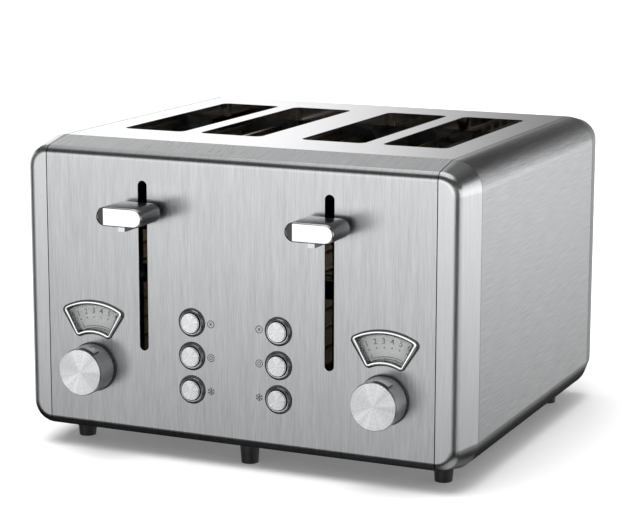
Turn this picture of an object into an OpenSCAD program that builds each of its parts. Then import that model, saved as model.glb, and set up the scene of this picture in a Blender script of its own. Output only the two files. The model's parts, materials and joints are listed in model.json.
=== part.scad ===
// Four slice pop up toaster. Origin at the centre of its footprint, on the surface that it
// stands on. +X right, +Y back, +Z up, millimetres.

/* [Body] */
// Width over the side panels
body_w = 304; // [280:1:370]
// Depth from the front face to the rear face
body_d = 274; // [262:1:330]
// Height of the shell without its feet
body_h = 191; // [184:1:230]
// Radius of the four long edges
body_r = 18.5; // [16:0.5:23]
// Radius of the rolled edge round the front and rear faces
edge_r = 6; // [4:0.5:7.5]
// Depth of the tapered frame behind each face
band_d = 25; // [20:1:31]
// Taper of that frame
band_taper = 11; // [6:1:14]
// Thickness of the casing sheet
sheet = 1.2; // [0.8:0.1:1.6]
// Gap at the seams between panels
seam_gap = 0.6; // [0.4:0.1:1]

/* [Feet] */
// Height of the feet
foot_h = 11; // [8:0.5:16]
// Diameter of a foot where it meets the base
foot_d = 13; // [10:0.5:16]
// Distance of the corner feet from the side panels
foot_side = 25.5; // [24:0.5:34]
// Distance of the corner feet from each face
foot_end = 34; // [33:1:60]
// Distance of the middle feet from each face
foot_mid_end = 20.7; // [16:0.1:30]

/* [Bread slots] */
// Width of a bread slot
slot_w = 44; // [36:1:46]
// Length of a bread slot
slot_l = 150; // [130:1:166]
// Distance between the two slots of a pair
slot_pitch = 56; // [53:1:58]
// Distance of each pair and its lever from the middle
pair_x = 64; // [60:0.5:66]
// Distance from the front face to the slots
slot_y = 66; // [64:1:72]
// Corner radius of a slot
slot_r = 5; // [3:0.5:8]
// Depth of the rim that hangs into a slot
rim_h = 8; // [5:1:9]

/* [Levers] */
// Height of the lever handles above the shell's underside, at rest
lever_z = 150.2; // [146:0.1:152]
// How far a lever is pressed down
lever_down = 78; // [60:1:80]
// How far a lever lifts above rest
lever_up = 14; // [8:1:15]
// Width of a handle
grip_w = 32; // [26:1:40]
// Height of a handle
grip_h = 12; // [9:0.5:14]
// Depth of a handle
grip_d = 25; // [18:1:30]
// Gap between a handle and the front face
grip_gap = 6; // [4:0.5:10]
// Thickness of the lever arm
arm_t = 4.4; // [3:0.1:5]
// Height of the lever arm
arm_h = 11; // [8:0.5:12]
// Width of the slot that the arm runs in
lever_slot_w = 6.4; // [6:0.1:8]
// Diameter of the guide rods
rod_d = 5; // [4:0.5:6]
// Running clearance on a guide rod and a spindle
run_gap = 0.05; // [0.02:0.01:0.09]

/* [Controls] */
// Distance of the knobs from the middle
knob_x = 100.6; // [100:0.1:108]
// Height of the knobs above the shell's underside
knob_z = 45.8; // [40:0.1:52]
// Diameter of a knob
knob_d = 30.4; // [24:0.2:34]
// How far a knob stands out from the front face
knob_reach = 18.6; // [12:0.2:24]
// Diameter of a knob spindle
spindle_d = 6; // [5:0.5:7]
// Outer radius of a gauge frame
gauge_r = 43; // [40:0.5:46]
// Inner radius of a gauge frame
gauge_r_in = 21.6; // [20:0.2:23]
// Half of the angle that a gauge covers
gauge_half = 32; // [26:1:36]
// Width of a gauge frame
gauge_rim = 3.3; // [2.5:0.1:4]
// Angle that a knob turns through
knob_sweep = 56; // [40:1:60]
// Distance of the button columns from the middle
button_x = 29.9; // [28:0.1:33]
// Height of the middle buttons above the shell's underside
button_z = 59.7; // [56:0.1:66]
// Distance between the buttons of a column
button_pitch = 21.6; // [20:0.1:24]
// Diameter of a button cap
button_d = 12.4; // [10:0.1:13]
// Outer diameter of a button ring
ring_d = 17.5; // [16:0.1:19]
// How far a button is pressed
button_travel = 2; // [1:0.5:2.5]

/* [Inside] */
// Thickness of the chassis plates
plate_t = 1.2; // [1:0.1:1.6]
// Thickness of the heater boards
board_t = 1; // [0.6:0.1:1.4]
// Diameter of the bread guide wires
wire_d = 2; // [1.5:0.1:2.4]
// Distance of a guide from its slot's middle while the slot is open
guide_x = 18; // [15:0.5:18.5]
// Width of a bread rack
rack_w = 14; // [10:1:16]
// Height of the racks above the shell's underside, at rest
rack_z = 106; // [104:1:110]
// Height of a crumb tray
tray_h = 9; // [7:0.5:10]
// Width of a crumb tray
tray_w = 116; // [100:1:118]
// Height of a crumb tray above the shell's underside
tray_z = 11; // [10.5:0.5:12]

/* [Hidden] */
$fn = 48;

// Overlap of joined shapes, gap between neighbours, and overrun of a cutter
eps = 0.01;
slack = 0.4;
over = 1;
LEFT = -1;
RIGHT = 1;

// Reach of the handles in front of the front face, and of the tray grips behind the rear face
lever_reach = grip_d + grip_gap;
tray_reach = 6;
face_y = -(body_d + lever_reach + tray_reach) / 2 + lever_reach;

// The corner pieces and side panels start at the long edges' axis, and the other panels stop short of it
seam_x = body_w / 2 - body_r;
panel_half = seam_x - seam_gap;

// Centre of the rolled edge, measured outward from the long edge's axis
roll_u = body_r - edge_r * cos(band_taper)
    - (band_d - edge_r + edge_r * sin(band_taper)) * tan(band_taper);

// Places inside
chassis_front_gap = 8;
chassis_rear_gap = 7;
rim_clear = 0.8;
board_margin = 8;
chassis_front_y = slot_y - chassis_front_gap;
chassis_rear_y = slot_y + slot_l + chassis_rear_gap;
chassis_top = body_h - sheet - rim_h - rim_clear;
chassis_half = pair_x + slot_pitch + board_margin;
bridge_front = 8;
rib_h = 3.4;
rib_set_back = 4;
arm_z = lever_z - grip_h / 2 - rib_h;
bush_h = 24;
bush_d = rod_d + 8;
bush_z = arm_z + arm_h - bush_h;
rod_y = 30;
crossbar_y = 44;
crossbar_t = 3;
crossbar_h = 12;
crossbar_end = 2;
web_w = 8;
web_gap = 3;
keeper_w = 16;
keeper_h = 4;
keeper_gap = 4;
magnet_w = 14;
magnet_d = 11;
magnet_h = rack_z - crossbar_h - lever_down - sheet - slack;
neck_w = 7;
neck_slot_w = 9;
neck_low = 4;
neck_h = 3;
neck_end = 4;
neck_play = 6;
rack_gap = 3;
rack_rib_w = 5;
rack_rib_h = 2;
plate_slot_low = rack_z - lever_down - neck_play;
plate_slot_high = rack_z + lever_up + neck_play;
board_low = 30;
board_high = 172;
guide_low = 34;
guide_high = 176;
guide_bar_h = 3;
guide_bar_w = 2.6;
dial_y = 5;
pointer_y = 2.6;
pointer_t = 0.7;
pointer_rest = -knob_sweep / 2;
stem_d = 5;
stem_y = 9.5;
circuit_y = 14;
circuit_t = 1.6;
arm_play = 3;
lever_slot_low = arm_z - lever_down - arm_play;
lever_slot_high = arm_z + arm_h + lever_up + arm_play;
tray_out = 4;
tray_gap = 1;
tray_wall = 1.2;
tray_x = pair_x + tray_out;
rear_plate_z = tray_z + tray_h + slack;
tray_front = chassis_front_y + plate_t + tray_gap;
tray_plate = 1.6;
tray_plate_rim = 1.5;
tray_bridge = 4;
grip_bar_w = 32;
grip_bar_h = 3;
rest_from_front = 10;
rest_d = 10;

// Fasteners and cord outlet
screw_d = 3.6;
screw_head_d = 7;
screw_head_h = 1.6;
screw_l = 9;
screw_cross_w = 0.9;
screw_cross_l = 4.4;
screw_cross_h = 0.8;
thread_play = 0.2;
gland_d = 16;
gland_z = 62;
cord_hole_d = 8;
gland_play = 0.4;
gland_flange = 5;
gland_flange_h = 3;
gland_nut = 4;
gland_nut_h = 8;
rear_screw_low = 34;
rear_screw_top = 30;
rear_screw_in = 10;
rear_screw_rise = 6;
rear_screw_sites = [
    for (x = [-1, 0, 1]) for (z = [rear_screw_low, body_h - rear_screw_top])
        [x * (panel_half - rear_screw_in), z + (x == 0 ? rear_screw_rise : 0)]
];

// Vents in the rear panel and in the base
vent_count = 5;
vent_w = 46;
vent_h = 3;
vent_pitch = 8;
vent_z = 118;
base_vent_count = 7;
base_vent_w = 90;
base_vent_d = 5;
base_vent_pitch = 16;
base_vent_from_front = 40;

// Heaters and bread guides
heater_rows = 10;
heater_pitch = 13;
ribbon_h = 2;
ribbon_t = 0.3;
ribbon_low = 12;
ribbon_end = 8;
guide_wires = 8;
wire_pitch = 19;
rack_ribs = 9;

// Feet
foot_taper = 2;
foot_screw_floor = 3;
mid_foot_root = 4;

// Lift springs
rod_seat_h = 4;
rod_seat_wall = 2;
spring_r = 4.4;
spring_wire = 1.2;
spring_sides = 6;
spring_turns = 11;
spring_steps = 12;

// Knobs and potentiometers
collar_t = 1.4;
tab_w = 8;
tab_angle = 16;
tab_depth = 5;
tab_h = 1.4;
tab_sink = 0.6;
tab_from_face = 2.4;
collar_rim = 0.8;
knob_step = 0.7;
hole_play = 2;
pot_y = 10;
pot_d = 18;
pot_l = 8;
pot_lug_t = 4;
pot_lug_h = 14;
pot_bore_l = 6.5;
pot_seat = 6;

// Gauges: frame, the lip behind it and the window
gauge_proud = 1.6;
gauge_lip = 0.8;
gauge_fit = 0.15;
gauge_corner = 3;
lens_t = 1;
lens_proud = 0.6;
lens_fit = 0.1;
dial_t = 1;
dial_edge = 1;
dial_hole = 8;
boss_rim = 3;
needle_gap = 2;
needle_foot = 2;
needle_tip = 0.5;

// Buttons, their rings and switches
button_proud = 3.2;
button_l = 7.5;
cap_chamfer = 0.5;
ring_proud = 1.8;
ring_chamfer = 0.6;
ring_play = 0.4;
switch_gap = 0.2;
switch_d = 3.4;
switch_w = 6;
board_w = 26;
board_edge = 12;

// Power board, with its terminal block, relay and capacitor as [x, height on the board, size]
power_board_gap = 6;
power_board_w = 60;
power_board_h = 52;
power_board_rise = 22;
power_parts = [[-20, 8, [40, 12, 14]], [-24, 32, [18, 14, 14]], [6, 32, [16, 10, 12]]];

button_rows = [1, 0, -1];
foot_sites = [
    for (side = [LEFT, RIGHT]) for (y = [foot_end, body_d - foot_end])
        [side * (body_w / 2 - foot_side), y]
];
mid_foot_sites = [[0, foot_mid_end], [0, body_d - foot_mid_end]];

// Moves the shell's own frame, from the middle of the front face's lower edge, into place
module in_shell() translate([0, face_y, foot_h]) children();

// Mirrors what is at the front to the rear of the shell
module at_rear() translate([0, body_d, 0]) mirror([0, 1, 0]) children();

// Mirrors what is on the right to the given side
module on_side(side) scale([side, 1, 1]) children();

// Cylinder along +Y from y
module rod_y_axis(d, h) rotate([-90, 0, 0]) cylinder(d = d, h = h);

// Filled outline of the frame's rim, set in by t: X outward from the long edge's axis, Y back
module rim_outline(t) {
    r = edge_r - t;
    edge_x = roll_u + r * cos(band_taper);
    edge_y = edge_r - r * sin(band_taper);
    end_x = edge_x + (band_d + eps - edge_y) * tan(band_taper);
    translate([roll_u, edge_r]) circle(r = r);
    polygon([[0, t], [roll_u, t], [edge_x, edge_y], [end_x, band_d + eps], [0, band_d + eps]]);
}

// Section of the frame's sheet
module rim_section() {
    intersection() {
        difference() {
            rim_outline(0);
            rim_outline(sheet);
        }
        square([body_r * 2, band_d]);
    }
}

// Straight run of the frame along X at the top, from -half to half
module rim_run(half) {
    translate([-half, 0, body_h - body_r])
        rotate([90, 0, 90]) linear_extrude(2 * half) rotate(-90) mirror([1, 0]) rim_section();
}

module mirror_low() translate([0, 0, body_h / 2]) mirror([0, 0, 1]) translate([0, 0, -body_h / 2]) children();

// Stadium shaped cutter along Y, standing from low to high
module upright_slot(x, low, high, w, depth) {
    translate([x - w / 2, 0, low + w / 2]) cube([w, depth, high - low - w]);
    for (z = [low + w / 2, high - w / 2]) translate([x, 0, z]) rod_y_axis(w, depth);
}

// Points of a ring segment with round corners, about the knob's axis
function segment_points(outer, inner, half, corner) =
    let (
        out_half = half - asin(corner / (outer - corner)),
        in_half = half - asin(corner / (inner + corner)),
        out_c = outer - corner,
        in_c = inner + corner
    )
    concat(
        [for (a = [-out_half:out_half / 10:out_half + eps]) outer * [sin(a), cos(a)]],
        [for (k = [1:5]) let (a = out_half + k * (90 - out_half + half) / 6)
            out_c * [sin(out_half), cos(out_half)] + corner * [sin(a), cos(a)]],
        [for (k = [0:5]) let (a = 90 + half + k * (90 - half + in_half) / 6)
            in_c * [sin(in_half), cos(in_half)] + corner * [sin(a), cos(a)]],
        [for (a = [in_half:-in_half / 8:-in_half - eps]) inner * [sin(a), cos(a)]],
        [for (k = [1:5]) let (a = 180 - in_half + k * (90 - half + in_half) / 6)
            in_c * [-sin(in_half), cos(in_half)] + corner * [sin(a), cos(a)]],
        [for (k = [0:5]) let (a = 270 - half + k * (90 - out_half + half) / 6)
            out_c * [-sin(out_half), cos(out_half)] + corner * [sin(a), cos(a)]]
    );

// Gauge shaped plate, set in from the gauge's outline, from y back over depth
module gauge_shape(set_in, y, depth) {
    translate([knob_x, y + depth, knob_z]) rotate([90, 0, 0]) linear_extrude(depth)
        polygon(segment_points(
            gauge_r - set_in, gauge_r_in + set_in,
            gauge_half - set_in / gauge_r * 90 / PI, gauge_corner
        ));
}

// ---- Casing ----

module face_panel() {
    rim_run(panel_half);
    mirror_low() rim_run(panel_half);
    translate([-panel_half, 0, body_r]) cube([2 * panel_half, sheet, body_h - 2 * body_r]);
}

module face_corner() translate([seam_x, 0, 0]) {
    translate([0, 0, body_r]) linear_extrude(body_h - 2 * body_r) rim_section();
    for (low = [0, 1])
        translate([0, 0, low == 1 ? body_r : body_h - body_r])
            rotate([-90, low == 1 ? 0 : -90, 0])
                rotate_extrude(angle = 90) rim_section();
}

module front_panel() in_shell() color("silver") {
    difference() {
        face_panel();
        for (side = [LEFT, RIGHT]) {
            translate([0, -over, 0])
                upright_slot(side * pair_x, lever_slot_low, lever_slot_high, lever_slot_w, sheet + 2 * over);
            for (row = button_rows)
                translate([side * button_x, -over, button_z + row * button_pitch])
                    rod_y_axis(button_d + hole_play, sheet + 2 * over);
            translate([side * knob_x, -over, knob_z]) rod_y_axis(spindle_d + hole_play, sheet + 2 * over);
            on_side(side) gauge_shape(gauge_rim - gauge_lip, -over, sheet + 2 * over);
        }
    }
}

module front_corner_left() in_shell() on_side(LEFT) color("silver") face_corner();
module front_corner_right() in_shell() color("silver") face_corner();

// Wrapped sheet with its round top and bottom edges
module side_panel() {
    module outline(t) {
        square([body_w / 2 - seam_x - t, body_h - 2 * body_r]);
        for (z = [0, body_h - 2 * body_r]) translate([0, z]) circle(r = body_r - t);
    }
    y0 = band_d + slack;
    translate([seam_x, y0 + body_d - 2 * y0, body_r]) rotate([90, 0, 0]) linear_extrude(body_d - 2 * y0)
        intersection() {
            difference() {
                outline(0);
                outline(sheet);
            }
            translate([0, -body_r]) square([body_r, body_h]);
        }
}

module side_panel_left() in_shell() on_side(LEFT) color("gainsboro") side_panel();
module side_panel_right() in_shell() color("gainsboro") side_panel();

function slot_sites() = [
    for (side = [LEFT, RIGHT]) for (s = [LEFT, RIGHT]) side * pair_x + s * slot_pitch / 2
];

module round_slot(w, l, r) {
    translate([-w / 2, r]) square([w, l - 2 * r]);
    translate([-w / 2 + r, 0]) square([w - 2 * r, l]);
    for (x = [-w / 2 + r, w / 2 - r]) for (y = [r, l - r]) translate([x, y]) circle(r = r);
}

module top_plate() in_shell() color("whitesmoke") {
    y0 = band_d + slack;
    difference() {
        union() {
            translate([-panel_half, y0, body_h - sheet]) cube([2 * panel_half, body_d - 2 * y0, sheet]);
            for (x = slot_sites())
                translate([x, slot_y - sheet, body_h - sheet - rim_h]) linear_extrude(rim_h + sheet / 2)
                    round_slot(slot_w + 2 * sheet, slot_l + 2 * sheet, slot_r + sheet);
        }
        for (x = slot_sites())
            translate([x, slot_y, body_h - sheet - rim_h - over]) linear_extrude(rim_h + sheet + 2 * over)
                round_slot(slot_w, slot_l, slot_r);
    }
}

module rear_panel() in_shell() color("silver") {
    cut_y = body_d - sheet - over;
    difference() {
        at_rear() face_panel();
        for (side = [LEFT, RIGHT])
            translate([side * tray_x - tray_w / 2 - slack, cut_y, tray_z - slack])
                cube([tray_w + 2 * slack, sheet + 2 * over, tray_h + 2 * slack]);
        translate([0, cut_y, gland_z]) rod_y_axis(gland_d, sheet + 2 * over);
        for (p = rear_screw_sites) translate([p[0], cut_y, p[1]]) rod_y_axis(screw_d, sheet + 2 * over);
        for (side = [LEFT, RIGHT]) for (k = [0:vent_count - 1])
            translate([side * pair_x - vent_w / 2, cut_y, vent_z + k * vent_pitch])
                cube([vent_w, sheet + 2 * over, vent_h]);
    }
}

module rear_corner_left() in_shell() on_side(LEFT) color("silver") at_rear() face_corner();
module rear_corner_right() in_shell() color("silver") at_rear() face_corner();

module base_plate() in_shell() color("dimgray") {
    y0 = band_d + slack;
    difference() {
        union() {
            translate([-panel_half, y0, 0]) cube([2 * panel_half, body_d - 2 * y0, sheet]);
            for (side = [LEFT, RIGHT])
                translate([side * tray_x - tray_w / 2, tray_front + rest_from_front, sheet - eps])
                    cube([tray_w, rest_d, tray_z - sheet - slack]);
            for (side = [LEFT, RIGHT])
                translate([side * pair_x, rod_y, 0])
                    cylinder(d = rod_d + 2 * rod_seat_wall, h = sheet + rod_seat_h);
        }
        for (p = foot_sites) translate([p[0], p[1], -over]) cylinder(d = screw_d, h = sheet + 2 * over);
        for (side = [LEFT, RIGHT])
            translate([side * pair_x, rod_y, sheet]) cylinder(d = rod_d, h = rod_seat_h + over);
        for (side = [LEFT, RIGHT]) for (k = [0:base_vent_count - 1])
            translate([side * tray_x, chassis_front_y + base_vent_from_front + k * base_vent_pitch, -over])
                translate([-base_vent_w / 2, 0, 0]) cube([base_vent_w, base_vent_d, sheet + 2 * over]);
    }
}

module feet() in_shell() color("black") {
    difference() {
        for (p = foot_sites) translate([p[0], p[1], -foot_h])
            cylinder(d1 = foot_d - foot_taper, d2 = foot_d, h = foot_h);
        for (p = foot_sites) translate([p[0], p[1], -foot_h - over]) {
            cylinder(d = screw_head_d + 2 * slack, h = foot_h - foot_screw_floor + over);
            cylinder(d = screw_d, h = foot_h + 2 * over);
        }
    }
    difference() {
        for (p = mid_foot_sites) translate([p[0], p[1], -foot_h])
            cylinder(d1 = foot_d - foot_taper, d2 = foot_d, h = foot_h + mid_foot_root);
        frame_trim();
        at_rear() frame_trim();
    }
}

// Space above the underside of the front frame and the base plate
module frame_trim() {
    translate([-foot_d, 0, 0]) rotate([90, 0, 90]) linear_extrude(2 * foot_d)
        polygon([
            [0, band_d * tan(band_taper)], [band_d, 0], [body_d / 2, 0], [body_d / 2, body_r], [0, body_r]
        ]);
}

module screw(l) {
    translate([0, 0, -screw_head_h]) difference() {
        cylinder(d = screw_head_d, h = screw_head_h);
        for (a = [0, 90]) rotate(a) translate([-screw_cross_l / 2, -screw_cross_w / 2, -over])
            cube([screw_cross_l, screw_cross_w, screw_cross_h + over]);
    }
    cylinder(d = screw_d - thread_play, h = l);
}

module foot_screws() in_shell() color("gray") {
    for (p = foot_sites) translate([p[0], p[1], -foot_screw_floor]) screw(screw_l);
}

module casing_screws() in_shell() color("gray") {
    for (p = rear_screw_sites) translate([p[0], body_d, p[1]]) rotate([90, 0, 0]) screw(screw_l);
}

module cord_gland() in_shell() color("black") {
    translate([0, body_d, gland_z]) difference() {
        union() {
            translate([0, -sheet - gland_nut_h + over, 0])
                rod_y_axis(gland_d - gland_play, sheet + gland_nut_h - over + gland_flange_h);
            rod_y_axis(gland_d + gland_flange, gland_flange_h);
            translate([0, -sheet - gland_nut_h, 0])
                rod_y_axis(gland_d + gland_nut, gland_nut_h - slack / 2);
        }
        translate([0, -2 * gland_nut_h, 0]) rod_y_axis(cord_hole_d, 4 * gland_nut_h);
    }
}

// ---- Chassis and heaters ----

module chassis_front_plate() in_shell() color("lightslategray") {
    difference() {
        union() {
            translate([-chassis_half, chassis_front_y, sheet])
                cube([2 * chassis_half, plate_t, chassis_top - sheet]);
            translate([-chassis_half, rod_y - bridge_front, chassis_top - plate_t])
                cube([2 * chassis_half, chassis_front_y - rod_y + bridge_front + plate_t, plate_t]);
        }
        for (x = slot_sites())
            translate([x - neck_slot_w / 2, chassis_front_y - over, plate_slot_low])
                cube([neck_slot_w, plate_t + 2 * over, plate_slot_high - plate_slot_low]);
        for (side = [LEFT, RIGHT])
            translate([side * pair_x, rod_y, chassis_top - plate_t - over])
                cylinder(d = rod_d, h = plate_t + 2 * over);
    }
}

module chassis_rear_plate() in_shell() color("lightslategray") {
    difference() {
        translate([-chassis_half, chassis_rear_y, rear_plate_z])
            cube([2 * chassis_half, plate_t, chassis_top - rear_plate_z]);
        for (x = slot_sites())
            translate([x - neck_slot_w / 2, chassis_rear_y - over, plate_slot_low])
                cube([neck_slot_w, plate_t + 2 * over, plate_slot_high - plate_slot_low]);
    }
}

// Post that carries the rear plate, between the two crumb trays
module chassis_rear_post() in_shell() color("lightslategray") {
    w = 2 * (tray_x - tray_w / 2 - slack);
    translate([-w / 2, chassis_rear_y, sheet]) cube([w, plate_t, rear_plate_z - sheet]);
}

// Mica board wound with flat heating ribbon
module heater_board() {
    l = chassis_rear_y - chassis_front_y - plate_t;
    translate([-board_t / 2, chassis_front_y + plate_t, board_low])
        cube([board_t, l, board_high - board_low]);
    for (k = [0:heater_rows - 1])
        translate([0, chassis_front_y + plate_t + ribbon_end, board_low + ribbon_low + k * heater_pitch])
            translate([-board_t / 2 - ribbon_t, 0, 0])
                cube([board_t + 2 * ribbon_t, l - 2 * ribbon_end, ribbon_h]);
}

module heater_boards(side) in_shell() color("burlywood")
    for (s = [-1, 0, 1]) translate([side * pair_x + s * slot_pitch, 0, 0]) heater_board();
module heater_boards_left() heater_boards(LEFT);
module heater_boards_right() heater_boards(RIGHT);

// Wire cage on one side of a slot; it closes on the bread as the rack goes down
module bread_guide(index, side) in_shell() color("gray") {
    y0 = chassis_front_y + plate_t + slack;
    l = chassis_rear_y - slack - y0;
    translate([slot_sites()[index - 1] + side * guide_x, y0, 0]) {
        for (z = [guide_low, guide_high - guide_bar_h])
            translate([-guide_bar_w / 2, 0, z]) cube([guide_bar_w, l, guide_bar_h]);
        for (k = [0:guide_wires - 1])
            translate([0, l / 2 + (k - (guide_wires - 1) / 2) * wire_pitch, guide_low + guide_bar_h / 2])
                cylinder(d = wire_d, h = guide_high - guide_low - guide_bar_h);
    }
}

module bread_guide_1a() bread_guide(1, LEFT);
module bread_guide_1b() bread_guide(1, RIGHT);
module bread_guide_2a() bread_guide(2, LEFT);
module bread_guide_2b() bread_guide(2, RIGHT);
module bread_guide_3a() bread_guide(3, LEFT);
module bread_guide_3b() bread_guide(3, RIGHT);
module bread_guide_4a() bread_guide(4, LEFT);
module bread_guide_4b() bread_guide(4, RIGHT);

// ---- Lift mechanism ----

// Shelf that the slice stands on, with a neck at each end that runs in the chassis plates
module bread_rack(index) in_shell() color("darkgray") {
    y0 = chassis_front_y + plate_t + rack_gap;
    l = chassis_rear_y - rack_gap - y0;
    front = crossbar_y + crossbar_t;
    translate([slot_sites()[index - 1], 0, rack_z]) {
        translate([-neck_w / 2, front, -neck_low])
            cube([neck_w, chassis_rear_y + plate_t + neck_end - front, neck_h]);
        for (k = [0:rack_ribs - 1])
            translate([-rack_w / 2, y0 + (l - rack_rib_w) * k / (rack_ribs - 1), -rack_rib_h])
                cube([rack_w, rack_rib_w, rack_rib_h]);
    }
}

module bread_rack_1() bread_rack(1);
module bread_rack_2() bread_rack(2);
module bread_rack_3() bread_rack(3);
module bread_rack_4() bread_rack(4);

// Slider on the guide rod, with the lever arm in front and the crossbar of both racks behind
module carriage(side) in_shell() color("silver") translate([side * pair_x, 0, 0]) {
    rod_edge = rod_y + rod_d / 2;
    crossbar_w = slot_pitch + neck_w + 2 * crossbar_end;
    difference() {
        union() {
            translate([-arm_t / 2, -grip_gap, arm_z]) cube([arm_t, rod_y + grip_gap, arm_h]);
            translate([-arm_t / 2, rib_set_back - lever_reach, arm_z])
                cube([arm_t, lever_reach - rib_set_back, rib_h]);
            translate([0, rod_y, bush_z]) cylinder(d = bush_d, h = bush_h);
            translate([-web_w / 2, rod_edge + web_gap, rack_z - crossbar_h])
                cube([web_w, crossbar_y - rod_edge - web_gap + eps, arm_z + arm_h - rack_z + crossbar_h]);
            translate([-crossbar_w / 2, crossbar_y, rack_z - crossbar_h])
                cube([crossbar_w, crossbar_t, crossbar_h]);
            translate([-keeper_w / 2, rod_edge + keeper_gap, rack_z - crossbar_h])
                cube([keeper_w, crossbar_y - rod_edge - keeper_gap + eps, keeper_h]);
        }
        translate([0, rod_y, bush_z - over]) cylinder(d = rod_d + 2 * run_gap, h = bush_h + 2 * over);
    }
}
module carriage_left() carriage(LEFT);
module carriage_right() carriage(RIGHT);

// Handle with round ends, seated on the arm's end and on the rib under it
module lever_handle(side) in_shell() color("white") {
    translate([side * pair_x, -lever_reach, lever_z]) {
        translate([0, grip_d, 0]) rotate([90, 0, 0]) linear_extrude(grip_d) {
            square([grip_w - grip_h, grip_h], center = true);
            for (s = [-1, 1]) translate([s * (grip_w - grip_h) / 2, 0]) circle(d = grip_h);
        }
    }
}
module lever_handle_left() lever_handle(LEFT);
module lever_handle_right() lever_handle(RIGHT);

module guide_rods() in_shell() color("lightgray")
    for (side = [LEFT, RIGHT]) translate([side * pair_x, rod_y, sheet])
        cylinder(d = rod_d, h = chassis_top - sheet);

// Points of one ring of the spring wire, at an angle along the helix
function spring_ring(a, h, turns) =
    let (c = [spring_r * cos(a), spring_r * sin(a), h * a / (360 * turns)])
    [for (k = [0:spring_sides - 1]) let (b = k * 360 / spring_sides)
        c + spring_wire / 2 * [cos(a) * cos(b), sin(a) * cos(b), sin(b)]];

// Coil spring that lifts the carriage, round the lower part of the guide rod
module lift_spring(side) in_shell() color("silver") {
    low = sheet + rod_seat_h + spring_wire;
    h = bush_z - spring_wire - low;
    rings = spring_turns * spring_steps;
    points = [for (i = [0:rings]) each spring_ring(i * 360 / spring_steps, h, spring_turns)];
    n = spring_sides;
    faces = concat(
        [[for (k = [0:n - 1]) k]],
        [for (i = [0:rings - 1]) for (k = [0:n - 1]) let (j = (k + 1) % n)
            [i * n + k, (i + 1) * n + k, (i + 1) * n + j]],
        [for (i = [0:rings - 1]) for (k = [0:n - 1]) let (j = (k + 1) % n)
            [i * n + k, (i + 1) * n + j, i * n + j]],
        [[for (k = [n - 1:-1:0]) rings * n + k]]
    );
    translate([side * pair_x, rod_y, low]) polyhedron(points, faces);
}
module lift_spring_left() lift_spring(LEFT);
module lift_spring_right() lift_spring(RIGHT);

module latch_magnets() in_shell() color("saddlebrown")
    for (side = [LEFT, RIGHT])
        translate([side * pair_x - magnet_w / 2, rod_y + rod_d / 2 + keeper_gap, sheet])
            cube([magnet_w, magnet_d, magnet_h]);

// ---- Controls ----

module knob_collars() in_shell() color("black")
    for (side = [LEFT, RIGHT]) translate([side * knob_x, -collar_t, knob_z]) difference() {
        rod_y_axis(knob_d + 2 * collar_rim, collar_t);
        translate([0, -over, 0]) rod_y_axis(spindle_d + hole_play, collar_t + 2 * over);
    }

// Knob with its spindle and a small index tab on the rim, turned to its first stop
module knob(side) in_shell() color("white")
    translate([side * knob_x, -knob_reach, knob_z]) {
        rod_y_axis(knob_d - 2 * knob_step, knob_step);
        translate([0, knob_step - eps, 0]) rod_y_axis(knob_d, knob_reach - collar_t - slack - knob_step);
        rod_y_axis(spindle_d, knob_reach + pot_y + pot_seat);
        rotate([0, tab_angle, 0]) translate([-tab_w / 2, tab_from_face, knob_d / 2 - tab_sink])
            cube([tab_w, tab_depth, tab_h]);
    }

module knob_left() knob(LEFT);
module knob_right() knob(RIGHT);

// Needle on the spindle, behind the face and in front of the dial
module pointer(side) in_shell() color("darkgoldenrod") {
    reach = gauge_r - gauge_rim - needle_gap;
    translate([side * knob_x, pointer_y, knob_z]) rotate([0, pointer_rest, 0]) difference() {
        union() {
            rod_y_axis(spindle_d + 2 * boss_rim, pointer_t);
            translate([0, pointer_t, 0]) rotate([90, 0, 0]) linear_extrude(pointer_t)
                polygon([[-needle_foot, 0], [-needle_tip, reach], [needle_tip, reach], [needle_foot, 0]]);
        }
        translate([0, -over, 0]) rod_y_axis(spindle_d + 2 * run_gap, pointer_t + 2 * over);
    }
}
module pointer_left() pointer(LEFT);
module pointer_right() pointer(RIGHT);

module gauge_bezels() in_shell() color("silver")
    for (side = [LEFT, RIGHT]) on_side(side) difference() {
        union() {
            gauge_shape(0, -gauge_proud, gauge_proud);
            gauge_shape(gauge_rim - gauge_lip + gauge_fit, -eps, sheet + eps);
        }
        gauge_shape(gauge_rim, -gauge_proud - over, gauge_proud + sheet + 2 * over);
    }

module gauge_dials() in_shell() color("whitesmoke")
    for (side = [LEFT, RIGHT]) on_side(side) difference() {
        gauge_shape(-dial_edge, dial_y, dial_t);
        translate([knob_x, dial_y - over, knob_z]) rod_y_axis(spindle_d + dial_hole, dial_t + 2 * over);
    }

module gauge_lenses() in_shell() color("white", 0.4)
    for (side = [LEFT, RIGHT]) on_side(side) gauge_shape(gauge_rim + lens_fit, -lens_proud, lens_t);

module button_rings() in_shell() color("silver")
    for (side = [LEFT, RIGHT]) for (row = button_rows)
        translate([side * button_x, -ring_proud, button_z + row * button_pitch]) difference() {
            union() {
                rod_y_axis(ring_d - 2 * ring_chamfer, ring_chamfer);
                translate([0, ring_chamfer - eps, 0]) rod_y_axis(ring_d, ring_proud - ring_chamfer + eps);
            }
            translate([0, -over, 0]) rod_y_axis(button_d + 2 * ring_play, ring_proud + 2 * over);
        }

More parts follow.
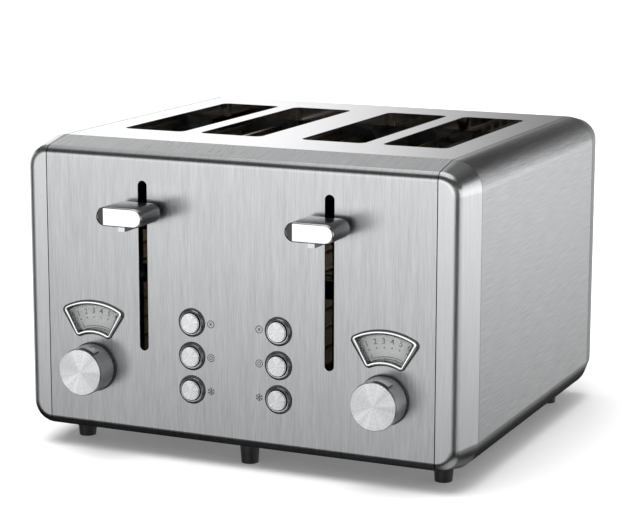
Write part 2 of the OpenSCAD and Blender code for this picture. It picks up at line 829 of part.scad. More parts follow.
// Cap on a stem that presses the switch behind it
module button(side, row) in_shell() color("white")
    translate([side * button_x, -button_proud, button_z + row * button_pitch]) {
        rod_y_axis(button_d - 2 * cap_chamfer, cap_chamfer);
        translate([0, cap_chamfer - eps, 0]) rod_y_axis(button_d, button_l - cap_chamfer);
        rod_y_axis(stem_d, button_proud + stem_y);
    }
module button_left_top() button(LEFT, 1);
module button_left_middle() button(LEFT, 0);
module button_left_bottom() button(LEFT, -1);
module button_right_top() button(RIGHT, 1);
module button_right_middle() button(RIGHT, 0);
module button_right_bottom() button(RIGHT, -1);

module potentiometers() in_shell() color("darkslategray")
    for (side = [LEFT, RIGHT]) translate([side * knob_x, pot_y, knob_z]) difference() {
        union() {
            rod_y_axis(pot_d, pot_l);
            translate([-pot_d / 2, pot_l - pot_lug_t, -pot_lug_h]) cube([pot_d, pot_lug_t, pot_lug_h]);
        }
        translate([0, -over, 0]) rod_y_axis(spindle_d + 2 * run_gap, pot_bore_l + over);
    }

// Circuit board with the three switches behind one column of buttons
module control_board(side) in_shell() color("darkgreen") {
    switch_y = stem_y + button_travel + switch_gap;
    translate([side * button_x - board_w / 2, circuit_y, button_z - button_pitch - board_edge])
        cube([board_w, circuit_t, 2 * (button_pitch + board_edge)]);
    for (row = button_rows) translate([side * button_x, switch_y, button_z + row * button_pitch]) {
        rod_y_axis(switch_d, circuit_y - switch_y + eps);
        translate([-switch_w / 2, over, -switch_w / 2])
            cube([switch_w, circuit_y - switch_y - over + eps, switch_w]);
    }
}
module control_board_left() control_board(LEFT);
module control_board_right() control_board(RIGHT);

module power_board() in_shell() color("darkgreen") {
    y = chassis_rear_y + plate_t + power_board_gap;
    translate([-power_board_w / 2, y, gland_z + power_board_rise])
        cube([power_board_w, circuit_t, power_board_h]);
    for (part = power_parts)
        translate([part[0], y + circuit_t - eps, gland_z + power_board_rise + part[1]]) cube(part[2]);
}

// Tray with its grip behind the rear face
module crumb_tray(side) in_shell() color("lightgray") translate([side * tray_x, 0, tray_z]) {
    l = body_d - tray_front;
    translate([-tray_w / 2, tray_front, 0]) difference() {
        cube([tray_w, l, tray_h]);
        translate([tray_wall, tray_wall, tray_wall])
            cube([tray_w - 2 * tray_wall, l - 3 * tray_wall, tray_h]);
    }
    translate([-tray_w / 2 - tray_plate_rim, body_d + slack, -tray_gap])
        cube([tray_w + 2 * tray_plate_rim, tray_plate, tray_h + 2 * tray_gap]);
    translate([-tray_w / 2 + tray_bridge, body_d - eps, tray_gap])
        cube([tray_w - 2 * tray_bridge, slack + 2 * eps, tray_h - 2 * tray_gap]);
    translate([-grip_bar_w / 2, body_d + slack + tray_plate - eps, (tray_h - grip_bar_h) / 2])
        cube([grip_bar_w, tray_reach - slack - tray_plate, grip_bar_h]);
}
module crumb_tray_left() crumb_tray(LEFT);
module crumb_tray_right() crumb_tray(RIGHT);

front_panel();
front_corner_left();
front_corner_right();
side_panel_left();
side_panel_right();
top_plate();
rear_panel();
rear_corner_left();
rear_corner_right();
base_plate();
feet();
foot_screws();
casing_screws();
cord_gland();
chassis_front_plate();
chassis_rear_plate();
chassis_rear_post();
heater_boards_left();
heater_boards_right();
bread_guide_1a();
bread_guide_1b();
bread_guide_2a();
bread_guide_2b();
bread_guide_3a();
bread_guide_3b();
bread_guide_4a();
bread_guide_4b();
bread_rack_1();
bread_rack_2();
bread_rack_3();
bread_rack_4();
carriage_left();
carriage_right();
lever_handle_left();
lever_handle_right();
guide_rods();
lift_spring_left();
lift_spring_right();
latch_magnets();
knob_left();
knob_right();
pointer_left();
pointer_right();
knob_collars();
gauge_bezels();
gauge_dials();
gauge_lenses();
button_left_top();
button_left_middle();
button_left_bottom();
button_right_top();
button_right_middle();
button_right_bottom();
button_rings();
potentiometers();
control_board_left();
control_board_right();
power_board();
crumb_tray_left();
crumb_tray_right();
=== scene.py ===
"""Looks of a four slice pop up toaster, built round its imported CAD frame.

Metres, Z up, front face towards -Y. Every piece is placed from the CAD nodes' boxes.
"""
import json
import math

import bmesh
import bpy
from mathutils import Matrix, Vector


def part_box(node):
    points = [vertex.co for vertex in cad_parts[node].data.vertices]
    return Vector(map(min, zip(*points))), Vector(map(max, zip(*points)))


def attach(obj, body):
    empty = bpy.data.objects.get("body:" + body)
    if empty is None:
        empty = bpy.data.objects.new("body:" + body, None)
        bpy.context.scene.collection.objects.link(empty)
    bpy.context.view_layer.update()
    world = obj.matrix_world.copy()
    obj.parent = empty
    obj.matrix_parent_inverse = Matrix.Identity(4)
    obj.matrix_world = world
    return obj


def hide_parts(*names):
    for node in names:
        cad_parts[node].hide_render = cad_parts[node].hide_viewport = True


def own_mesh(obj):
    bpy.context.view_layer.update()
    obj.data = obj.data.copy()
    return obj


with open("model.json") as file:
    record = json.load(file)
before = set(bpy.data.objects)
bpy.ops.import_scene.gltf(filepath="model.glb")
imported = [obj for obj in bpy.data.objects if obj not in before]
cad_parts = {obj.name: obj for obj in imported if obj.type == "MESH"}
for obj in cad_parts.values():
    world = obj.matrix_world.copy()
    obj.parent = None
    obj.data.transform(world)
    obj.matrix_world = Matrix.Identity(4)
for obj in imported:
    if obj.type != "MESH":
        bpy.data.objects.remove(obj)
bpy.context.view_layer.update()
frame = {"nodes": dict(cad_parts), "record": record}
nodes = frame["nodes"]

MM = 0.001
LEFT, RIGHT = "left", "right"
SIDES = (LEFT, RIGHT)
ROWS = ("top", "middle", "bottom")

# ---- Camera ----

CAMERA_PLACE = Vector((0.5656, -1.2639, 0.3864))
CAMERA_AZIMUTH = math.radians(24.22)
CAMERA_ELEVATION = math.radians(10.96)
CAMERA_ROLL = math.radians(0.09)
CAMERA_LENS = 118.89
CAMERA_SHIFT = (0.0087, -0.0108)


def make_camera():
    """Camera at the photograph's angle."""
    data = bpy.data.cameras.new("camera")
    data.lens = CAMERA_LENS
    data.sensor_width = 36.0
    data.shift_x, data.shift_y = CAMERA_SHIFT
    camera = bpy.data.objects.new("camera", data)
    bpy.context.scene.collection.objects.link(camera)
    back = Vector((
        math.sin(CAMERA_AZIMUTH) * math.cos(CAMERA_ELEVATION),
        -math.cos(CAMERA_AZIMUTH) * math.cos(CAMERA_ELEVATION),
        math.sin(CAMERA_ELEVATION),
    ))
    turn = (-back).to_track_quat("-Z", "Y").to_matrix().to_4x4() @ Matrix.Rotation(CAMERA_ROLL, 4, "Z")
    camera.matrix_world = Matrix.Translation(CAMERA_PLACE) @ turn
    bpy.context.scene.camera = camera


# ---- Node helpers ----


def add_node(tree, kind, inputs=None, **settings):
    """Adds a node; an input that is a socket is linked, and any other is set."""
    node = tree.nodes.new(kind)
    for name, value in settings.items():
        setattr(node, name, value)
    for key, value in (inputs or {}).items():
        if isinstance(value, bpy.types.NodeSocket):
            tree.links.new(value, node.inputs[key])
        else:
            node.inputs[key].default_value = value
    return node


def math_node(tree, operation, *values):
    """Result of one sum on sockets or numbers."""
    return add_node(tree, "ShaderNodeMath", dict(enumerate(values)), operation=operation).outputs[0]


def remap(tree, value, low, high, new_low, new_high, smooth=False):
    """Value moved from one range to another, and held inside it."""
    node = add_node(tree, "ShaderNodeMapRange", {
        "Value": value, "From Min": low, "From Max": high, "To Min": new_low, "To Max": new_high,
    })
    node.interpolation_type = "SMOOTHSTEP" if smooth else "LINEAR"
    return node.outputs["Result"]


def ramp(tree, value, stops):
    """Colour ramp with stops (place, colour), where a colour is one grey level or three channels."""
    node = add_node(tree, "ShaderNodeValToRGB", {"Fac": value})
    elements = node.color_ramp.elements
    while len(elements) < len(stops):
        elements.new(1.0)
    for element, (place, colour) in zip(elements, stops):
        rgb = (colour,) * 3 if isinstance(colour, float) else colour
        element.position = place
        element.color = (*rgb, 1.0)
    return node.outputs["Color"]


def mix_colour(tree, factor, first, second, blend="MIX"):
    """Two colours, each a socket or three channels, mixed or blended."""
    node = tree.nodes.new("ShaderNodeMix")
    node.data_type = "RGBA"
    node.blend_type = blend
    for key, value in ((0, factor), (6, first), (7, second)):
        if isinstance(value, bpy.types.NodeSocket):
            tree.links.new(value, node.inputs[key])
        elif key == 0:
            node.inputs[key].default_value = value
        else:
            node.inputs[key].default_value = (*value, 1.0)
    return node.outputs[2]


class Look:
    """A procedural material round one Principled shader."""

    def __init__(self, name, **uniform):
        self.material = bpy.data.materials.new(name)
        self.material.use_nodes = True
        self.tree = self.material.node_tree
        self.shader = self.tree.nodes["Principled BSDF"]
        for socket, value in uniform.items():
            self.shader.inputs[socket.replace("_", " ")].default_value = value
        coords = add_node(self.tree, "ShaderNodeTexCoord")
        self.place = coords.outputs["Object"]
        self.unit = coords.outputs["Generated"]

    def noise(self, scale, detail=3.0, roughness=0.55, distortion=0.0, vector=None):
        """Noise with cells a metre long divided by scale, which may differ along X, Y and Z."""
        stretch = scale if isinstance(scale, tuple) else (scale,) * 3
        mapping = add_node(self.tree, "ShaderNodeMapping", {
            "Vector": vector or self.place, "Scale": stretch,
        })
        return add_node(self.tree, "ShaderNodeTexNoise", {
            "Vector": mapping.outputs[0], "Scale": 1.0, "Detail": detail,
            "Roughness": roughness, "Distortion": distortion,
        }).outputs["Fac"]

    def remap(self, *values, **options):
        return remap(self.tree, *values, **options)

    def math(self, operation, *values):
        return math_node(self.tree, operation, *values)

    def vector_math(self, operation, *values, output="Vector"):
        """Result of one sum on vectors; a length or a dot product comes out as Value."""
        node = add_node(self.tree, "ShaderNodeVectorMath", dict(enumerate(values)), operation=operation)
        return node.outputs[output]

    def weigh(self, *terms):
        """Sum of terms, each a value and its share."""
        parts = [self.math("MULTIPLY", value, share) for value, share in terms]
        total = parts[0]
        for part in parts[1:]:
            total = self.math("ADD", total, part)
        return total

    def ramp(self, value, stops):
        return ramp(self.tree, value, stops)

    def tones(self, value, first, second, low=0.3, high=0.7):
        """Ramp between two tones, each a grey level or three channels."""
        return self.ramp(value, [(low, first), (high, second)])

    def mix(self, factor, first, second):
        return mix_colour(self.tree, factor, first, second)

    def shaded(self, colour, shade):
        """A colour multiplied by a shade."""
        return mix_colour(self.tree, 1.0, colour, shade, blend="MULTIPLY")

    def set(self, socket, value):
        self.tree.links.new(value, self.shader.inputs[socket])

    def bump(self, height, distance, strength=1.0):
        """Raises the surface by up to distance, in metres, over what was raised before."""
        inputs = {"Height": height, "Distance": distance, "Strength": strength}
        before = self.shader.inputs["Normal"]
        if before.is_linked:
            inputs["Normal"] = before.links[0].from_socket
        self.set("Normal", add_node(self.tree, "ShaderNodeBump", inputs).outputs[0])

    def edges(self, radius):
        """1 on edges sharper than the radius, 0 on flats."""
        plain = add_node(self.tree, "ShaderNodeNewGeometry").outputs["Normal"]
        rounded = add_node(self.tree, "ShaderNodeBevel", {"Radius": radius}, samples=4).outputs[0]
        likeness = self.vector_math("DOT_PRODUCT", plain, rounded, output="Value")
        return self.remap(likeness, 0.995, 0.86, 0.0, 1.0)

    def tangent(self, direction):
        """Lays the brushing along one fixed direction."""
        way = add_node(self.tree, "ShaderNodeCombineXYZ", dict(enumerate(direction)))
        self.set("Tangent", way.outputs[0])


def grey(level, tint=(1.0, 1.0, 1.0)):
    """Grey of a level, a little off neutral if tinted."""
    return tuple(level * channel for channel in tint)


COOL = (0.985, 0.995, 1.01)
WARM = (1.03, 1.0, 0.95)

# ---- Materials ----


def brushed_steel(
    name, streak, tangent=None, turn=0.0, level=0.64, contrast=0.07, rough=0.3, anisotropy=0.6,
    long_share=0.3,
):
    """Steel brushed along the axis with the lowest streak number; long_share weighs the long streaks."""
    look = Look(name, Metallic=1.0, Roughness=rough, Anisotropic=anisotropy, Anisotropic_Rotation=turn)
    fine = look.noise(streak, detail=4.0, roughness=0.62)
    long = look.noise(tuple(s * 0.3 for s in streak), detail=2.0)
    broad = look.noise(7.0, detail=2.0)
    streaks = look.weigh((fine, 1.0 - long_share), (long, long_share))
    colour = look.ramp(streaks, [
        (0.3, grey(level - contrast, COOL)), (0.5, grey(level, COOL)), (0.7, grey(level + contrast, COOL)),
    ])
    look.set("Base Color", look.shaded(colour, look.tones(broad, 0.95, 1.0)))
    wear = look.weigh((fine, 0.12), (broad, 0.08))
    look.set("Roughness", look.math("ADD", wear, rough - 0.1))
    look.bump(fine, 0.000012, 0.6)
    if tangent:
        look.tangent(tangent)
    return look.material


def round_brushed_steel(name, streak, level):
    """Steel with upright streaks for the rounded corners, and a tangent that runs level round them."""
    material = brushed_steel(name, streak, level=level)
    tree = material.node_tree
    normal = add_node(tree, "ShaderNodeNewGeometry").outputs["Normal"]
    up = (0.0, 0.0, 1.0)
    level_way = add_node(tree, "ShaderNodeVectorMath", {0: normal, 1: up}, operation="CROSS_PRODUCT")
    tree.links.new(level_way.outputs[0], tree.nodes["Principled BSDF"].inputs["Tangent"])
    return material


def polished_steel(name, level=0.8, rough=0.07):
    """Bright steel with faint polishing lines and finger haze."""
    look = Look(name, Metallic=1.0, Roughness=rough)
    lines = look.noise((60.0, 900.0, 900.0), detail=3.0)
    haze = look.noise(14.0, detail=4.0, distortion=0.6)
    tint = (0.99, 0.99, 1.02)
    look.set("Base Color", look.tones(lines, grey(level - 0.03, tint), grey(level + 0.03, tint)))
    look.set("Roughness", look.remap(haze, 0.3, 0.75, rough * 0.7, rough * 1.7))
    look.bump(lines, 0.000004, 0.5)
    return look.material


def chrome(name, level=0.86, rough=0.06):
    """Chrome plate with a slight orange peel."""
    look = Look(name, Metallic=1.0, Roughness=rough)
    haze = look.noise(120.0, detail=4.0)
    peel = look.noise(900.0, detail=2.0)
    look.set("Base Color", look.tones(haze, grey(level - 0.04, COOL), grey(level + 0.03, COOL)))
    look.set("Roughness", look.remap(haze, 0.3, 0.7, rough * 0.6, rough * 1.6))
    look.bump(peel, 0.000006, 0.3)
    return look.material


def satin_metal(name, level=0.66, rough=0.28, streak=(260.0, 1500.0, 260.0)):
    """Turned metal with fine lines round its axis along Y."""
    look = Look(name, Metallic=1.0, Roughness=rough, Anisotropic=0.35)
    lines = look.noise(streak, detail=4.0, roughness=0.65)
    broad = look.noise(60.0, detail=2.0)
    look.set("Base Color", look.tones(lines, grey(level - 0.06, COOL), grey(level + 0.06, COOL)))
    worn = look.remap(broad, 0.3, 0.7, rough - 0.1, rough - 0.03)
    look.set("Roughness", look.math("ADD", look.math("MULTIPLY", lines, 0.14), worn))
    look.bump(lines, 0.000014, 0.6)
    return look.material


def spun_metal(name, level=0.95, rough=0.2, rings=45.0):
    """Faced metal with rings about the piece's own axis along Y, and faint wedges of painted highlight and
    shade round that axis.
    """
    look = Look(name, Metallic=1.0, Roughness=rough, Anisotropic=0.82, Anisotropic_Rotation=0.25)
    around = add_node(look.tree, "ShaderNodeTangent", direction_type="RADIAL", axis="Y")
    look.set("Tangent", around.outputs[0])
    offset = look.vector_math("SUBTRACT", look.unit, (0.5, 0.5, 0.5))
    flat = look.vector_math("MULTIPLY", offset, (1.0, 0.0, 1.0))
    radius = look.vector_math("LENGTH", flat, output="Value")
    ring_place = add_node(look.tree, "ShaderNodeCombineXYZ", {0: look.math("MULTIPLY", radius, rings)})
    lines = look.noise(1.0, detail=4.0, roughness=0.7, vector=ring_place.outputs[0])
    speck = look.noise(1400.0, detail=3.0)
    way_round = look.vector_math("NORMALIZE", flat)
    # Wedges of painted highlight and shade, by the angle round the axis, stand in for the bright and dark
    # reflections of a spun face
    painted_sheen_wedges = look.noise(2.2, detail=3.0, roughness=0.6, vector=way_round)
    # Tone of the turning rings and specks, and of the painted highlight and shade of the wedges
    tone = look.weigh((lines, 0.45), (speck, 0.15), (painted_sheen_wedges, 0.4))
    dark, bright = grey(level - 0.24, COOL), grey(level + 0.04, COOL)
    look.set("Base Color", look.tones(tone, dark, bright, low=0.4, high=0.55))
    look.set("Roughness", look.remap(tone, 0.3, 0.7, rough - 0.05, rough + 0.07))
    look.bump(lines, 0.00002, 0.8)
    return look.material


def moulded_plastic(name, colour=0.018, rough=0.42, grain=1600.0):
    """Black plastic with a fine moulded grain, dust haze, and lighter edges that are partly rubbed wear and
    partly a painted highlight.
    """
    look = Look(name, Roughness=rough, IOR=1.5)
    texture = look.noise(grain, detail=3.0)
    dust = look.noise(45.0, detail=5.0, roughness=0.65)
    base = look.tones(dust, grey(colour, COOL), grey(colour * 1.7, WARM), low=0.35, high=0.75)
    # Edges lightened from a bevel mask: partly rubbed wear, partly a painted highlight along the edges
    edge = look.math("MULTIPLY", look.edges(0.0006), 0.5)
    look.set("Base Color", look.mix(edge, base, grey(colour * 4.5)))
    look.set("Roughness", look.remap(dust, 0.3, 0.75, rough - 0.06, rough + 0.14))
    look.bump(texture, 0.00004, 0.5)
    return look.material


def zinc_steel(name, level=0.42, rough=0.42, flake=90.0):
    """Plated sheet with spangles and dull handling marks."""
    look = Look(name, Metallic=1.0, Roughness=rough)
    cells = add_node(look.tree, "ShaderNodeTexVoronoi", {"Vector": look.place, "Scale": flake})
    tone = add_node(look.tree, "ShaderNodeRGBToBW", {0: cells.outputs["Color"]}).outputs[0]
    marks = look.noise(40.0, detail=5.0, roughness=0.65)
    base = look.tones(tone, grey(level - 0.05, COOL), grey(level + 0.06, COOL), low=0.2, high=0.8)
    look.set("Base Color", look.shaded(base, look.tones(marks, 0.82, 1.0)))
    look.set("Roughness", look.remap(marks, 0.3, 0.7, rough - 0.08, rough + 0.14))
    look.bump(marks, 0.00002, 0.4)
    return look.material


def heated_wire(name):
    """Steel wire that the heat has tinted straw and blue in places."""
    look = Look(name, Metallic=1.0, Roughness=0.34)
    heat = look.noise((30.0, 30.0, 16.0), detail=3.0)
    fine = look.noise(1800.0, detail=3.0)
    bare, straw, brown, blue = (0.50, 0.50, 0.52), (0.46, 0.40, 0.30), (0.34, 0.27, 0.24), (0.26, 0.27, 0.33)
    look.set("Base Color", look.ramp(heat, [(0.3, bare), (0.5, straw), (0.62, brown), (0.75, blue)]))
    look.set("Roughness", look.remap(fine, 0.3, 0.7, 0.26, 0.46))
    look.bump(fine, 0.00001, 0.5)
    return look.material


def mica_sheet(name, ribbon_low, ribbon_pitch, ribbon_height):
    """Speckled mica, crossed at even heights by grey heating ribbon."""
    look = Look(name, Roughness=0.5)
    flakes = look.noise(420.0, detail=5.0, roughness=0.7)
    cloud = look.noise(30.0, detail=3.0)
    mica = look.ramp(flakes, [
        (0.3, (0.30, 0.24, 0.17)), (0.5, (0.46, 0.39, 0.28)), (0.72, (0.62, 0.56, 0.44)),
    ])
    mica = look.shaded(mica, look.tones(cloud, 0.8, 1.0))
    height = add_node(look.tree, "ShaderNodeSeparateXYZ", {0: look.place}).outputs["Z"]
    phase = look.math("FLOORED_MODULO", look.math("SUBTRACT", height, ribbon_low), ribbon_pitch)
    on_ribbon = look.math("LESS_THAN", phase, ribbon_height)
    look.set("Base Color", look.mix(on_ribbon, mica, (0.30, 0.29, 0.28)))
    look.set("Metallic", on_ribbon)
    look.set("Roughness", look.remap(flakes, 0.3, 0.7, 0.34, 0.6))
    look.bump(flakes, 0.00005, 0.5)
    return look.material


def dial_card(name):
    """Pale printed card with a faint fibre."""
    look = Look(name, Roughness=0.62)
    fibre = look.noise((1500.0, 300.0, 500.0), detail=4.0)
    shade = look.noise(35.0, detail=2.0)
    card = look.tones(fibre, grey(0.60, COOL), grey(0.68, COOL))
    look.set("Base Color", look.shaded(card, look.tones(shade, 0.94, 1.0)))
    look.set("Roughness", look.remap(fibre, 0.3, 0.7, 0.55, 0.7))
    look.bump(fibre, 0.00001, 0.4)
    return look.material


def printed_ink(name, level=0.02):
    """Screen printed ink with slightly uneven cover."""
    look = Look(name, Roughness=0.5)
    cover = look.noise(2600.0, detail=3.0)
    look.set("Base Color", look.tones(cover, grey(level), grey(level * 2.2), high=0.75))
    look.set("Roughness", look.remap(cover, 0.3, 0.7, 0.42, 0.62))
    look.bump(cover, 0.00001, 0.4)
    return look.material


def clear_window(name):
    """Thin clear window with a trace of dust."""
    look = Look(name, Roughness=0.05, IOR=1.49, Alpha=0.1)
    dust = look.noise(260.0, detail=5.0, roughness=0.7)
    look.set("Base Color", look.tones(dust, 0.85, 0.95, low=0.4, high=0.8))
    look.set("Roughness", look.remap(dust, 0.4, 0.8, 0.04, 0.16))
    look.set("Alpha", look.remap(dust, 0.4, 0.8, 0.06, 0.12))
    look.material.surface_render_method = "BLENDED"
    return look.material


def brass(name):
    """Olive brass, with its base colour darkened as painted shade of the gauge recess."""
    look = Look(name, Metallic=1.0, Roughness=0.35)
    tarnish = look.noise(400.0, detail=4.0)
    # The dark base colours are partly painted shade from the gauge recess
    look.set("Base Color", look.tones(tarnish, (0.16, 0.15, 0.06), (0.30, 0.27, 0.13)))
    look.set("Roughness", look.remap(tarnish, 0.3, 0.7, 0.28, 0.5))
    look.bump(tarnish, 0.00001, 0.4)
    return look.material


def circuit_board(name):
    """Green solder mask over copper tracks."""
    look = Look(name, Roughness=0.35)
    cells = {"Vector": look.place, "Scale": 260.0}
    tracks = add_node(look.tree, "ShaderNodeTexVoronoi", cells, distance="MANHATTAN").outputs["Distance"]
    fibre = look.noise(1200.0, detail=2.0)
    mask = look.tones(tracks, (0.02, 0.13, 0.055), (0.03, 0.2, 0.08), low=0.28, high=0.42)
    look.set("Base Color", look.shaded(mask, look.tones(fibre, 0.85, 1.0)))
    look.set("Roughness", look.remap(fibre, 0.3, 0.7, 0.28, 0.45))
    look.bump(tracks, 0.00003, 0.4)
    return look.material


def coil_winding(name):
    """Enamelled copper wound round an upright core."""
    look = Look(name, Metallic=0.9, Roughness=0.3)
    bands = {"Vector": look.place, "Scale": 320.0, "Distortion": 0.3}
    wave = add_node(look.tree, "ShaderNodeTexWave", bands, wave_type="BANDS", bands_direction="Z")
    turns = wave.outputs["Fac"]
    stain = look.noise(90.0, detail=3.0)
    copper = look.tones(turns, (0.10, 0.035, 0.015), (0.52, 0.2, 0.09), low=0.1)
    look.set("Base Color", look.shaded(copper, look.tones(stain, 0.8, 1.0)))
    look.set("Roughness", look.remap(stain, 0.3, 0.7, 0.25, 0.42))
    look.bump(turns, 0.0001, 0.7)
    return look.material


# ---- Mesh helpers ----


def add_piece(name, mesh, body, material):
    """Puts a mesh into the scene as a piece that rides on a body, with the given material."""
    mesh.materials.clear()
    mesh.materials.append(material)
    piece = bpy.data.objects.new(name, mesh)
    bpy.context.scene.collection.objects.link(piece)
    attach(piece, body)
    return piece


def finish_mesh(name, builder, smooth_angle=math.radians(35)):
    """Mesh from a bmesh, with its normals outward and smooth up to the given angle."""
    bmesh.ops.remove_doubles(builder, verts=builder.verts, dist=0.0000005)
    bmesh.ops.recalc_face_normals(builder, faces=builder.faces)
    mesh = bpy.data.meshes.new(name)
    builder.to_mesh(mesh)
    builder.free()
    mesh.polygons.foreach_set("use_smooth", [True] * len(mesh.polygons))
    mesh.set_sharp_from_angle(angle=smooth_angle)
    return mesh


def polar(centre, radius, angle):
    """Point at an angle clockwise from the top, about centre, as seen from the front."""
    return centre.x + radius * math.sin(angle), centre.z + radius * math.cos(angle)


def on_plane(point, y):
    """Place of an (x, z) point at a depth of y."""
    return point[0], y, point[1]


def lathe(name, centre, profile, segments=96):
    """Turns a profile of (radius, y) about the line along Y through centre; a radius of 0 closes it."""
    builder = bmesh.new()
    rings = []
    for radius, y in profile:
        if radius == 0.0:
            rings.append([builder.verts.new((centre.x, y, centre.z))] * segments)
            continue
        points = [polar(centre, radius, 2 * math.pi * k / segments) for k in range(segments)]
        rings.append([builder.verts.new(on_plane(point, y)) for point in points])
    for near, far in zip(rings, rings[1:]):
        for k in range(segments):
            m = (k + 1) % segments
            corners = []
            for vert in (near[k], near[m], far[m], far[k]):
                if vert not in corners:
                    corners.append(vert)
            if len(corners) > 2:
                builder.faces.new(corners)
    return finish_mesh(name, builder)


def tube(builder, rings, closed=False, first_cap=False, last_cap=False):
    """Adds a skin over rings of equally many points; closed joins the last ring to the first."""
    loops = [[builder.verts.new(point) for point in ring] for ring in rings]
    count = len(loops[0])
    next_loops = loops[1:] + loops[:1] if closed else loops[1:]
    for near, far in zip(loops, next_loops):
        for k in range(count):
            m = (k + 1) % count
            builder.faces.new((near[k], near[m], far[m], far[k]))
    if first_cap:
        builder.faces.new(loops[0])
    if last_cap:
        builder.faces.new(list(reversed(loops[-1])))


def flat_marks(builder, outlines, y, thickness):
    """Adds thin prisms with the given XZ outlines, standing proud of y towards the front."""
    for outline in outlines:
        front = [builder.verts.new((x, y - thickness, z)) for x, z in outline]
        back = [builder.verts.new((x, y, z)) for x, z in outline]
        builder.faces.new(front)
        builder.faces.new(list(reversed(back)))
        for k in range(len(outline)):
            m = (k + 1) % len(outline)
            builder.faces.new((front[m], front[k], back[k], back[m]))


def arc_band(centre, inner, outer, start, end, steps):
    """Outline of a ring segment; its quads are returned one by one so that each stays flat."""
    turns = [start + (end - start) * k / steps for k in range(steps + 1)]
    return [
        [polar(centre, outer, a), polar(centre, outer, b), polar(centre, inner, b), polar(centre, inner, a)]
        for a, b in zip(turns, turns[1:])
    ]


def bar(centre, length, width, angle, start=0.0):
    """Outline of a bar that runs outward from start, at an angle clockwise from the top."""
    out = Vector((math.sin(angle), math.cos(angle)))
    side = Vector((out.y, -out.x)) * width / 2
    foot = Vector((centre.x, centre.z)) + out * start
    tip = foot + out * length
    return [tuple(foot - side), tuple(foot + side), tuple(tip + side), tuple(tip - side)]


def middle(node):
    """Middle of a node's box."""
    low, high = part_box(node)
    return (low + high) / 2


# ---- Sizes of the pieces ----

# Sections of a knob, as (share of its radius, distance inside that in mm, depth behind its face in mm)
KNOB_DISC = [
    (0, 0, 0.05), (0.5, 0, 0.02), (1, 0.85, 0), (1, 0.6, 0), (1, 0.35, 0.2), (1, 0.35, 0.85), (0, 0, 0.85),
]
# The groove between disc and skirt is black as painted shade in the gap
KNOB_SHADE_GROOVE = [(0, 0, 0.8), (1, 1.1, 0.8), (1, 1.1, 1.6), (0, 0, 1.6)]
KNOB_SKIRT_FRONT = [(0, 0, 1.5), (1, 0.3, 1.5), (1, 0, 1.75)]
KNOB_SKIRT_BEVEL = 0.4 * MM
KNOB_BACK_GAP = 0.4 * MM
SPINDLE_RADIUS = 3.0 * MM

# Index tab on the rim, which begins at the first share of its rise and length and grows to the whole;
# its black outline of painted shade, the shadow of its pocket, is wider by the margin and lower by a share
# of that
TAB_START, TAB_END = math.radians(-1), math.radians(36)
TAB_SINK = 0.3 * MM
TAB_RISE = 1.3 * MM
TAB_SET_BACK = 1.7 * MM
TAB_LENGTH = 5.6 * MM
TAB_EDGE = 0.3 * MM
TAB_FIRST_SHARE = 0.35
TAB_CLIMB = 2.2
TAB_STEPS = 14
TAB_SHADE_MARGIN = 0.45 * MM
TAB_SHADE_DROP = 0.8

# Edge of a lever handle, as (distance inside its outline, depth behind its face) in mm
GRIP_EDGE = [(0.0, 0.95), (0.1, 0.6), (0.32, 0.3), (0.62, 0.1)]
GRIP_BACK_EDGE = 0.5 * MM
MIRROR_INSET = 0.75 * MM
MIRROR_DEPTH = 1.2 * MM
# The mirror's fold lies at this share of the handle's width, and left of it the face falls back
MIRROR_FOLD_SHARE = 0.17
MIRROR_FALL = math.tan(math.radians(9))

PRINT_THICKNESS = 0.06 * MM
FIGURES = range(1, 7)
MIDDLE_FIGURE = 3.5
FIGURE_STEP = math.radians(9.3)
FIGURE_RADIUS = 35.2 * MM
FIGURE_HEIGHT = 5.0 * MM
FIGURE_WEIGHT = 0.03 * MM
DOT_RADIUS = 31.2 * MM
DOT_SIZE = 0.5 * MM
# Inner and outer radius of each arc
DIAL_ARCS = [(25.4 * MM, 25.75 * MM), (23.9 * MM, 24.35 * MM)]
DIAL_ARC_HALF = math.radians(23)
# Length and width of the tick at the end of the outer arc
DIAL_TICK = (2.6 * MM, 0.4 * MM)

MARK_FROM_BUTTON = 13.2 * MM
MARK_RADIUS = 2.5 * MM
MARK_LINE = 0.42 * MM
MARK_THICKNESS = 0.05 * MM

GAUGE_HALF = math.radians(32)
GAUGE_BAND = 21.4 * MM
GAUGE_CORNER = 3 * MM
GAUGE_LEAST_CORNER = 0.4 * MM
# How much more a gauge's ends step in than its sides, measured at its outer radius
GAUGE_END_STEP = 1.5
# Rings of a gauge, as (distance inside its outline, height over the panel) in mm
GAUGE_FRAME = [
    (0.35, 0.0), (0.35, 1.2), (0.55, 1.5), (0.85, 1.6), (1.7, 1.6), (2.0, 1.5), (2.2, 1.2), (2.2, 0.0),
]
# Black outline outside a gauge frame and black liner inside it: painted shade of the gaps round the frame
GAUGE_SHADE_OUTLINE = [(-0.5, 0.0), (-0.45, 0.55), (0.4, 0.7), (0.4, 0.0)]
GAUGE_SHADE_LINER = [(2.15, 0.0), (2.15, 0.9), (2.45, 0.8), (2.75, 0.35), (2.75, 0.0)]
# Rings of a button, as (radius, height over the panel) in mm
BUTTON_SURROUND = [(6.85, 0.0), (6.85, 1.5), (7.05, 1.75), (7.5, 1.8), (8.0, 1.5), (8.25, 1.0), (8.25, 0.0)]
# Black liner between a button and its surround, and black outline outside: painted shade of the gaps
BUTTON_SHADE_LINER = [(6.55, 0.0), (6.55, 1.4), (6.9, 1.4), (6.9, 0.0)]
BUTTON_SHADE_OUTLINE = [(8.2, 0.0), (8.2, 0.8), (8.9, 0.7), (9.2, 0.35), (9.2, 0.0)]
BUTTON_STEPS = 64

SPRING_TURNS = 11
SPRING_STEPS = 28
SPRING_WIRE = 0.6 * MM
WIRE_SIDES = 8

# ---- Pieces ----


